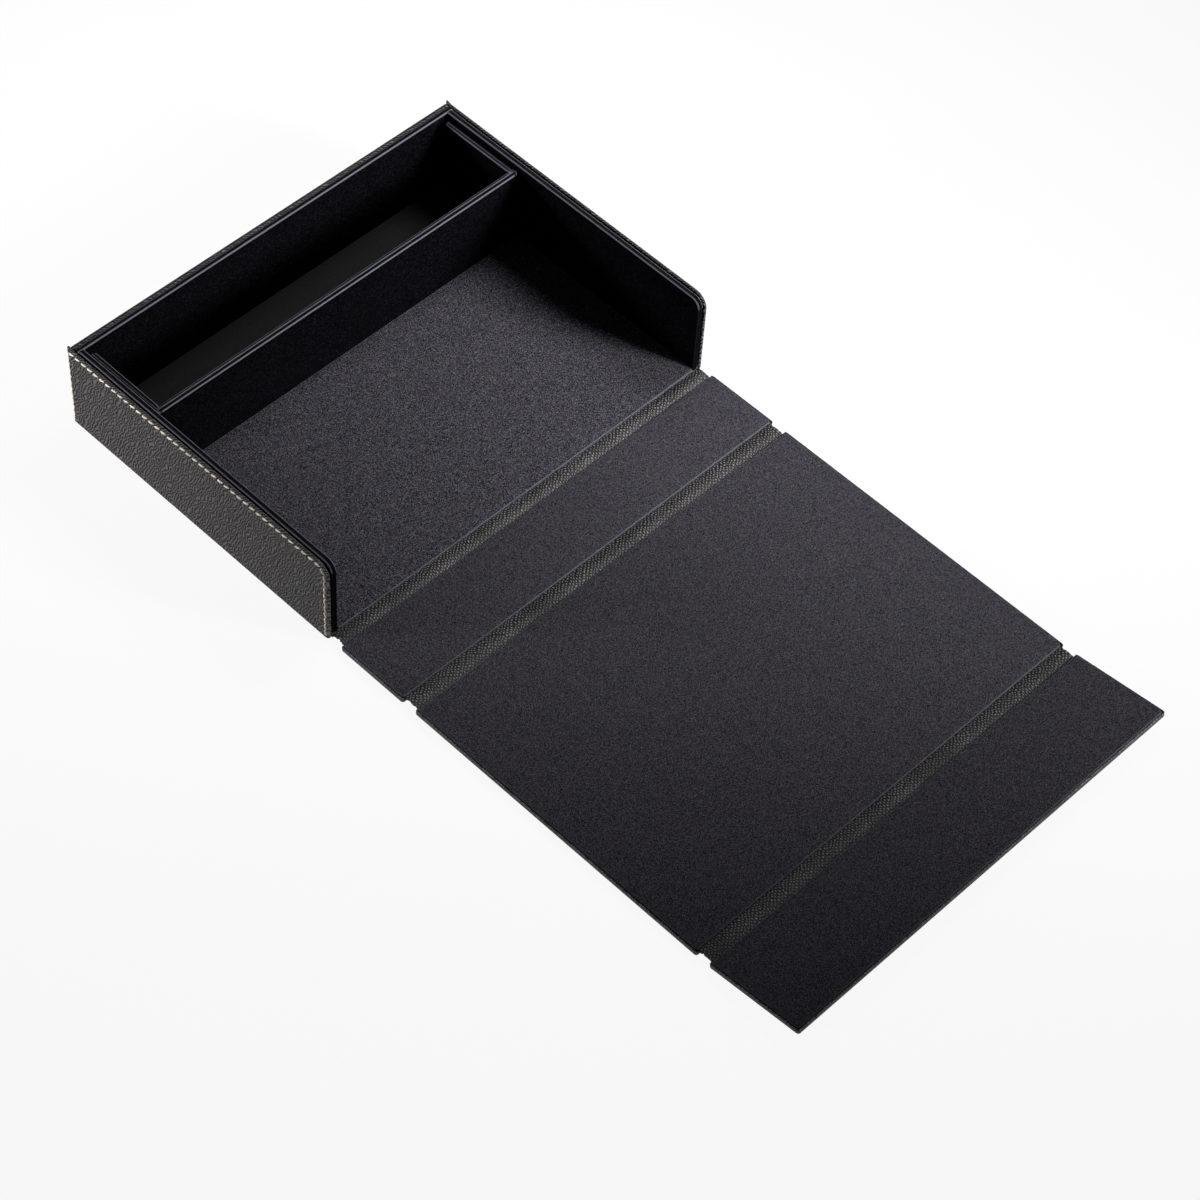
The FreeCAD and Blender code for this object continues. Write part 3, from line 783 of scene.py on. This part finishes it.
def drawDivider(low, high, inner, slitX):
    # the front board first, then the two returns drawn out of its ends
    wall, notch = dividerPiece["wall"], dividerPiece["notch"]
    piece = openCube("dividerVelvet", low, (high.x, low.y + wall, high.z))
    cutAcross(0, [-slitX, -inner, -inner + notch, inner - notch, inner, slitX])
    for reach in (low.y + wall + notch, high.y):
        pickFaces(piece, lambda m, n: n.y > 0.9 and abs(m.x) > inner)
        work = bmesh.from_edit_mesh(piece.data)
        now = max(v.co.y for v in work.verts)
        bpy.ops.mesh.extrude_region_move(TRANSFORM_OT_translate={"value": (0, reach - now, 0)})
    # the velvet tucks into the fold at each inside corner
    work = bmesh.from_edit_mesh(piece.data)
    for point in work.verts:
        if abs(abs(point.co.x) - inner) < hair and abs(point.co.y - low.y - wall) < hair:
            point.co.x += math.copysign(dividerPiece["notchDepth"], point.co.x)
            point.co.y -= dividerPiece["notchDepth"]
    bmesh.update_edit_mesh(piece.data)
    bpy.ops.mesh.select_all(action="SELECT")
    bpy.ops.mesh.normals_make_consistent(inside=False)
    return piece


def roundDivider(piece, low, high, inner):
    def onEnd(m):
        return m.y > high.y - touch and (abs(m.x) > high.x - touch or abs(m.x) < inner + touch)

    pickEdges(piece, lambda m, d: runsAlong(d, 2) and abs(m.x) > high.x - touch and m.y < low.y + touch)
    roundPicked(dividerPiece["corner"], dividerPiece["cornerSteps"])
    pickEdges(piece, lambda m, d: runsAlong(d, 2) and onEnd(m))
    roundPicked(dividerPiece["endRound"], dividerPiece["steps"])
    pickRim(piece, high.z)
    roundPicked(dividerPiece["fold"], dividerPiece["steps"])


def slitDivider(piece, high, slitX, slitY):
    # the slit between the two wrapped layers, along the rim
    def onSlit(m):
        inFront = abs(m.y - slitY) < hair and abs(m.x) < slitX + hair
        return inFront or (abs(abs(m.x) - slitX) < hair and m.y > slitY - hair)

    cutAcross(1, [slitY])
    pickEdges(piece, lambda m, d: m.z > high.z - hair and runsAcross(d, 2) and onSlit(m))
    roundPicked(dividerPiece["slit"], dividerPiece["steps"])
    work = bmesh.from_edit_mesh(piece.data)
    for point in work.verts:
        if point.co.z < high.z - hair:
            continue
        away = abs(abs(point.co.x) - slitX) if point.co.y > slitY else abs(point.co.y - slitY)
        if abs(point.co.x) < slitX:
            away = min(away, abs(point.co.y - slitY))
        share = max(0, 1 - away / dividerPiece["slit"])
        point.co.z -= dividerPiece["slitDepth"] * share ** 2
    bmesh.update_edit_mesh(piece.data)


def makeDivider():
    low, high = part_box("divider_velvet")
    inner = high.x - dividerPiece["wall"]
    slitX = high.x - dividerPiece["endLayer"]
    slitY = low.y + dividerPiece["frontLayer"]
    piece = drawDivider(low, high, inner, slitX)
    roundDivider(piece, low, high, inner)
    slitDivider(piece, high, slitX, slitY)
    shutPiece(piece)
    markFolds(piece, 2, wallPiece["rim"])
    return piece


def makeFrontBoard():
    # its outer corners follow the velvet round
    low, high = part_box("divider_front_board")
    piece = openCube("dividerFrontBoard", low, high)
    pickEdges(piece, lambda m, d: runsAlong(d, 2) and m.y < low.y + touch)
    roundPicked(dividerPiece["boardCorner"], dividerPiece["cornerSteps"])
    shutPiece(piece)
    return piece


divider = makeDivider()
settle(divider, "tray", ["divider_velvet"], wallVelvet)
frontBoard = makeFrontBoard()
settle(frontBoard, "tray", ["divider_front_board"], greyBoard)
print("walls and divider ready")


# flat pieces: base, cards and cover panels

card = {"corner": 1.5 * mm, "fold": 0.5 * mm, "steps": 4, "reach": 1.4 * mm}
paper = {"corner": 0.6 * mm, "edge": 0.2 * mm, "steps": 2}
cornerSteps = 5
coverPanel = {"corner": 1.5 * mm, "edge": 0.75 * mm, "steps": 4, "over": 0.05 * mm, "rim": 0.8 * mm,
              "rimRise": 0.85 * mm, "rimEdge": 0.35 * mm}


def makeSlab(name, low, high, corner, edge, steps, bottomToo):
    low, high = Vector(low), Vector(high)
    piece = openCube(name, low, high)
    if corner:
        pickEdges(piece, lambda m, d: runsAlong(d, 2))
        roundPicked(corner, cornerSteps)
    pickEdges(piece, lambda m, d: runsAcross(d, 2) and (bottomToo or m.z > (low.z + high.z) / 2))
    roundPicked(edge, steps)
    shutPiece(piece)
    markFolds(piece, 2)
    return piece


def makeCard(name, low, high):
    return makeSlab(name, low, high, card["corner"], card["fold"], card["steps"], False)


def makeCover(name, low, high, farRim=False):
    # the leatherette is turned up along the free edges, so the card lies in a shallow tray
    low, high = Vector(low), Vector(high)
    high.z += coverPanel["over"]
    piece = openCube(name, low, high)
    pickEdges(piece, lambda m, d: runsAlong(d, 2))
    roundPicked(coverPanel["corner"], cornerSteps)
    pickEdges(piece, lambda m, d: m.z < low.z + hair)
    roundPicked(coverPanel["edge"], coverPanel["steps"])
    inner, farInner = high.x - coverPanel["rim"], low.y + coverPanel["rim"]
    cutAcross(0, [-inner, inner])
    if farRim:
        cutAcross(1, [farInner])
    pickFaces(piece, lambda m, n: n.z > 0.9 and (abs(m.x) > inner or (farRim and m.y < farInner)))
    bpy.ops.mesh.extrude_region_move(TRANSFORM_OT_translate={"value": (0, 0, coverPanel["rimRise"])})
    pickRim(piece, high.z + coverPanel["rimRise"])
    roundPicked(coverPanel["rimEdge"], coverPanel["steps"])
    shutPiece(piece)
    markFolds(piece, 2, rim=1.0)
    return piece


basePiece = {"over": 0.05 * mm, "edge": 0.6 * mm, "steps": 4}
baseLow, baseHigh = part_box("base_cover")
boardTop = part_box("base_board")[1].z
baseHigh.z = boardTop + basePiece["over"]
baseLeather = makeSlab("baseLeather", baseLow, baseHigh, 0, basePiece["edge"], basePiece["steps"], True)
settle(baseLeather, "tray", ["base_cover"], panelLeather)

floorLow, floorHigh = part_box("floor_liner")
floorLow.y -= card["reach"]  # to the ends of the side panels
floorVelvet = makeCard("floorVelvet", floorLow, floorHigh)
settle(floorVelvet, "tray", ["floor_liner"], linerVelvet)
paperLow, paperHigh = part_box("compartment_floor")
paperCard = makeSlab("compartmentPaper", paperLow, paperHigh, paper["corner"], paper["edge"],
                     paper["steps"], False)
settle(paperCard, "tray", ["compartment_floor"], darkPaper)

spineLeather = makeCover("spineLeather", *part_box("spine_cover"))
settle(spineLeather, "spine", ["spine_cover"], panelLeather)
spineVelvet = makeCard("spineVelvet", *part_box("spine_liner"))
settle(spineVelvet, "spine", ["spine_liner"], coverVelvet)
lidLeather = makeCover("lidLeather", *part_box("lid_cover"))
settle(lidLeather, "lid", ["lid_cover"], panelLeather)
lidVelvet = makeCard("lidVelvet", *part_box("lid_liner"))
settle(lidVelvet, "lid", ["lid_liner"], coverVelvet)

# the flap is made lying flat, then turned up about its fold
flap = {"near": -353.0 * mm, "far": -409.0 * mm, "deck": 2.2 * mm, "top": 3.4 * mm, "inset": 1.0 * mm,
        "foldY": -351.8 * mm, "foldZ": 1.2 * mm, "tilt": 7.2}
lidLow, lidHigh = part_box("lid_cover")


def turnUp(piece):
    about = Matrix.Translation((0, flap["foldY"], flap["foldZ"]))
    piece.data.transform(about @ Matrix.Rotation(math.radians(-flap["tilt"]), 4, "X") @ about.inverted())


flapLeather = makeCover("flapLeather", (lidLow.x, flap["far"], 0),
                        (lidHigh.x, flap["near"], flap["deck"]), farRim=True)
turnUp(flapLeather)
settle(flapLeather, "flap", ["flap_cover"], panelLeather)
flapVelvet = makeCard("flapVelvet", (lidLow.x + flap["inset"], flap["far"] + flap["inset"], flap["deck"]),
                      (lidHigh.x - flap["inset"], flap["near"] - flap["inset"], flap["top"]))
turnUp(flapVelvet)
settle(flapVelvet, "flap", ["flap_liner"], coverVelvet)
print("cards and cover panels ready")


# hinge strips: soft leatherette with a slight hump and a beaded face

strip = {"half": 128.0 * mm, "thick": 0.9 * mm, "hump": 0.8 * mm, "humpPower": 1.3, "over": 0.12 * mm,
         "tuck": 0.2 * mm, "cell": 0.26 * mm, "softAngle": 60, "flapRise": 0.28 * mm}
# painted highlights on the beads' tips from "tipFrom" up, growing towards the front, where they fade into
# an even lighter grey painted for the lit front slope
beads = {"size": 1.45 * mm, "long": 0.7, "relief": 0.5 * mm, "level": 0.33, "wander": 2.8 * mm,
         "push": 0.55, "tipFrom": 0.46, "tipGain": 0.08, "tipBand": 0.28, "frontFrom": 0.4, "frontDim": 0.6,
         "frontGrey": 0.3, "seed": 5}
noise.seed_set(beads["seed"])  # the same wander in every run


def beadHeight(x, y):
    # rows of small beads, longer across the strip, pushed about so that they are not quite even
    push = noise.noise_vector(Vector((x, y, 0)) / beads["wander"]) * beads["push"] * beads["size"]
    step = 4 * math.pi / (math.sqrt(3) * beads["size"])
    total = 0
    for turn in (0, math.pi / 3, 2 * math.pi / 3):
        along = (x + push.x) * math.cos(turn) + beads["long"] * (y + push.y) * math.sin(turn)
        total += math.cos(step * along)
    return (total + 1.5) / 4.5  # the three waves add up to between -1.5 and 3


def beadHighlight(bead, s):
    tip = min(1, max(0, bead - beads["tipFrom"] + beads["tipGain"] * s) / beads["tipBand"])
    front = max(0, s - beads["frontFrom"])
    return tip * (1 - beads["frontDim"] * front) + beads["frontGrey"] * front


def makeStrip(name, first, last, rise, fall):
    # from the edge of one card to the edge of the next; its ends lie on the decks beside the cards
    letGo()
    wide, deep = 2 * strip["half"], first - last + 2 * strip["tuck"]
    bpy.ops.mesh.primitive_grid_add(x_subdivisions=round(wide / strip["cell"]),
                                    y_subdivisions=round(deep / strip["cell"]), size=1,
                                    location=(0, (first + last) / 2, 0))
    piece = bpy.context.object
    piece.name = piece.data.name = name
    piece.scale = (wide, deep, 1)
    bpy.ops.object.transform_apply(location=True, rotation=True, scale=True)
    tips = []
    for point in piece.data.vertices:
        s = min(1, max(0, (first - point.co.y) / (first - last)))
        bead = beadHeight(point.co.x, point.co.y)
        hump = strip["hump"] * math.sin(math.pi * s) ** strip["humpPower"]
        point.co.z = rise + (fall - rise) * s + strip["over"] + hump
        point.co.z += beads["relief"] * (bead - beads["level"])
        # painted highlight on the bead's tip, kept in the fold mask
        tips.append(beadHighlight(bead, s))
    layer = piece.data.attributes.new("fold", "FLOAT", "POINT")
    layer.data.foreach_set("value", tips)
    takeUp(piece)
    backing = piece.modifiers.new("backing", "SOLIDIFY")
    backing.thickness = strip["thick"]
    backing.offset = -1.0
    bpy.ops.object.modifier_apply(modifier=backing.name)
    bpy.ops.object.shade_smooth_by_angle(angle=math.radians(strip["softAngle"]))
    return piece


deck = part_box("spine_board")[1].z
cards = {"floor": floorLow.y, "spineNear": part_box("spine_liner")[1].y,
         "spineFar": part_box("spine_liner")[0].y, "lidNear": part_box("lid_liner")[1].y,
         "lidFar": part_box("lid_liner")[0].y, "flap": flap["near"] - flap["inset"]}

baseStrip = makeStrip("baseHinge", cards["floor"], cards["spineNear"], boardTop, deck)
settle(baseStrip, None, ["base_hinge_strip"], stripLeather)
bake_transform(baseStrip)
lidStrip = makeStrip("lidHinge", cards["spineFar"], cards["lidNear"], deck, deck)
settle(lidStrip, None, ["lid_hinge_strip"], stripLeather)
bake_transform(lidStrip)
flapStrip = makeStrip("flapHinge", cards["lidFar"], cards["flap"], deck, deck + strip["flapRise"])
settle(flapStrip, None, ["flap_hinge_strip"], stripLeather)
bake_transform(flapStrip)
print("hinge strips ready")


# the other boards, the magnets and the catch plates keep their own solids

for name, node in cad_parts.items():
    if name.endswith("_board"):
        node.material_slots[0].material = greyBoard
    elif name in ("catch_plates", "flap_magnets"):
        node.material_slots[0].material = platedSteel
print("inside parts ready")


# floor, light and camera

stage = {"half": 4.0, "middle": -0.15, "drop": 0.6 * mm, "paint": 0.82, "show": 0.92}
keyLight = {"place": (0.590, -1.080, 0.545), "aim": (0.051, 0.182, 0.0), "wide": 0.336, "tall": 0.525,
            "spread": 30.7, "power": 1.7}
topLight = {"place": (0.505, 0.010, 0.649), "aim": (0.030, -0.001, 0.0), "wide": 0.434, "tall": 0.287,
            "spread": 89.8, "power": 1.05}
sideLight = {"place": (-1.0, 0.8, 0.3), "aim": (-0.2, 0.25, 0.03), "wide": 0.35, "tall": 0.16,
             "spread": 32.0, "power": 0.75}
roomLight = 0.045


def seenBy(tree, x, y, rays):
    # 1 for the rays that should find a plain white background
    path = addNode(tree, "ShaderNodeLightPath", x, y)
    seen = path.outputs[rays[0]]
    for ray in rays[1:]:
        x += 200
        either = addNode(tree, "ShaderNodeMath", x, y, operation="MAXIMUM")
        tree.links.new(seen, either.inputs[0])
        tree.links.new(path.outputs[ray], either.inputs[1])
        seen = either.outputs[0]
    return seen


def mixShaders(tree, x, y, factor, first, second):
    mix = addNode(tree, "ShaderNodeMixShader", x, y)
    tree.links.new(factor, mix.inputs[0])
    tree.links.new(first.outputs[0], mix.inputs[1])
    tree.links.new(second.outputs[0], mix.inputs[2])
    return mix


def makeFloor():
    letGo()
    bpy.ops.mesh.primitive_plane_add(size=2 * stage["half"], location=(0, stage["middle"], -stage["drop"]))
    floor = bpy.context.object
    floor.name = "studioFloor"
    bpy.ops.object.transform_apply(location=True, rotation=True, scale=True)
    paint = bpy.data.materials.new("studioFloor")
    paint.use_nodes = True
    tree = paint.node_tree
    tree.nodes.clear()
    matt = addNode(tree, "ShaderNodeBsdfDiffuse", 0, 100)
    matt.inputs["Color"].default_value = (stage["paint"], stage["paint"], stage["paint"], 1)
    white = addNode(tree, "ShaderNodeEmission", 0, -100)
    seen = seenBy(tree, -700, 300, ["Is Camera Ray", "Is Glossy Ray", "Is Transmission Ray"])
    share = scaled(tree, -120, 300, seen, stage["show"])
    lit = mixShaders(tree, 220, 100, share, matt, white)
    # from underneath the floor is clear, so that the underside can be looked at
    clear = addNode(tree, "ShaderNodeBsdfTransparent", 220, -120)
    side = addNode(tree, "ShaderNodeNewGeometry", 220, 360)
    both = mixShaders(tree, 450, 100, side.outputs["Backfacing"], lit, clear)
    end = addNode(tree, "ShaderNodeOutputMaterial", 650, 100)
    tree.links.new(both.outputs[0], end.inputs["Surface"])
    floor.data.materials.append(paint)


def makeLight(name, look):
    letGo()
    bpy.ops.object.light_add(type="AREA", location=look["place"])
    lamp = bpy.context.object
    lamp.name = lamp.data.name = name
    lamp.data.shape = "RECTANGLE"
    lamp.data.size = look["wide"]
    lamp.data.size_y = look["tall"]
    lamp.data.energy = look["power"]
    lamp.data.spread = math.radians(look["spread"])
    lamp.rotation_mode = "QUATERNION"
    lamp.rotation_quaternion = (Vector(look["aim"]) - Vector(look["place"])).to_track_quat("-Z", "Y")


def makeWorld():
    world = bpy.data.worlds.new("studioRoom")
    bpy.context.scene.world = world
    world.use_nodes = True
    tree = world.node_tree
    tree.nodes.clear()
    room = addNode(tree, "ShaderNodeBackground", 0, 100)
    room.inputs["Color"].default_value = (1, 1, 1, 1)
    room.inputs["Strength"].default_value = roomLight
    white = addNode(tree, "ShaderNodeBackground", 0, -80)
    white.inputs["Color"].default_value = (1, 1, 1, 1)
    seen = seenBy(tree, -500, 300, ["Is Camera Ray", "Is Transmission Ray"])
    mix = mixShaders(tree, 220, 100, seen, room, white)
    end = addNode(tree, "ShaderNodeOutputWorld", 420, 100)
    tree.links.new(mix.outputs[0], end.inputs["Surface"])


cameraView = {"place": (-0.819624, -0.885016, 1.372884), "around": -48.277, "above": 51.886,
              "roll": -4.22, "lens": 106.007, "sensor": 36, "near": 0.05, "far": 50}


def makeCamera():
    around, above, roll = (math.radians(cameraView[key]) for key in ("around", "above", "roll"))
    ahead = Vector((-math.sin(around) * math.cos(above), math.cos(around) * math.cos(above),
                    -math.sin(above)))
    level = ahead.cross(Vector((0, 0, 1))).normalized()
    down = ahead.cross(level)
    right = math.cos(roll) * level + math.sin(roll) * down
    up = math.sin(roll) * level - math.cos(roll) * down
    letGo()
    bpy.ops.object.camera_add()
    camera = bpy.context.object
    turned = Matrix((right, up, -ahead)).transposed().to_4x4()
    camera.matrix_world = Matrix.Translation(cameraView["place"]) @ turned
    camera.data.lens = cameraView["lens"]
    camera.data.sensor_width = cameraView["sensor"]
    camera.data.clip_start = cameraView["near"]
    camera.data.clip_end = cameraView["far"]
    bpy.context.scene.camera = camera


makeFloor()
makeLight("keyLight", keyLight)
makeLight("topLight", topLight)
makeLight("sideLight", sideLight)
makeWorld()
makeCamera()
bpy.context.scene.view_settings.view_transform = "Standard"
print("floor, light and camera ready")

letGo()
